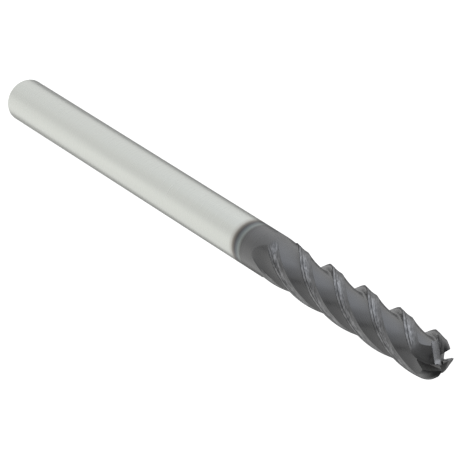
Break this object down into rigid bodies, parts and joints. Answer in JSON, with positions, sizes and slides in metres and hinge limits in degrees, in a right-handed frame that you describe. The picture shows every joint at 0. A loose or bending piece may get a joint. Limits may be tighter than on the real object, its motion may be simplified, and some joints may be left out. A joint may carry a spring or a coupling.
{
  "type": "ball-nose end mill",
  "caption": "Long-reach ball-nose end mill: plain ground shank with a chamfered butt, and a dark-coated helical cutting end with a gashed ball tip.",
  "frame": {"origin": "centre of the flat butt face of the shank", "axes": "+Z along the tool's axis, from the butt to the ball tip; tooth 1 crosses +X at the ball's equator"},
  "size_m": [0.0032, 0.0032, 0.0571],
  "materials": {
    "ground_carbide": "bare ground carbide, satin, fine circumferential grinding lines",
    "thin_coating": "coating thinning to nothing, with brown and pale blue interference bands",
    "dark_coating": "dark grey hard coating, satin, with grinding lines showing through"
  },
  "bodies": {
    "root": {"shank": "ground_carbide", "coating_edge": "thin_coating", "coated_neck": "dark_coating", "fluted_end": "dark_coating"}
  },
  "joints": []
}
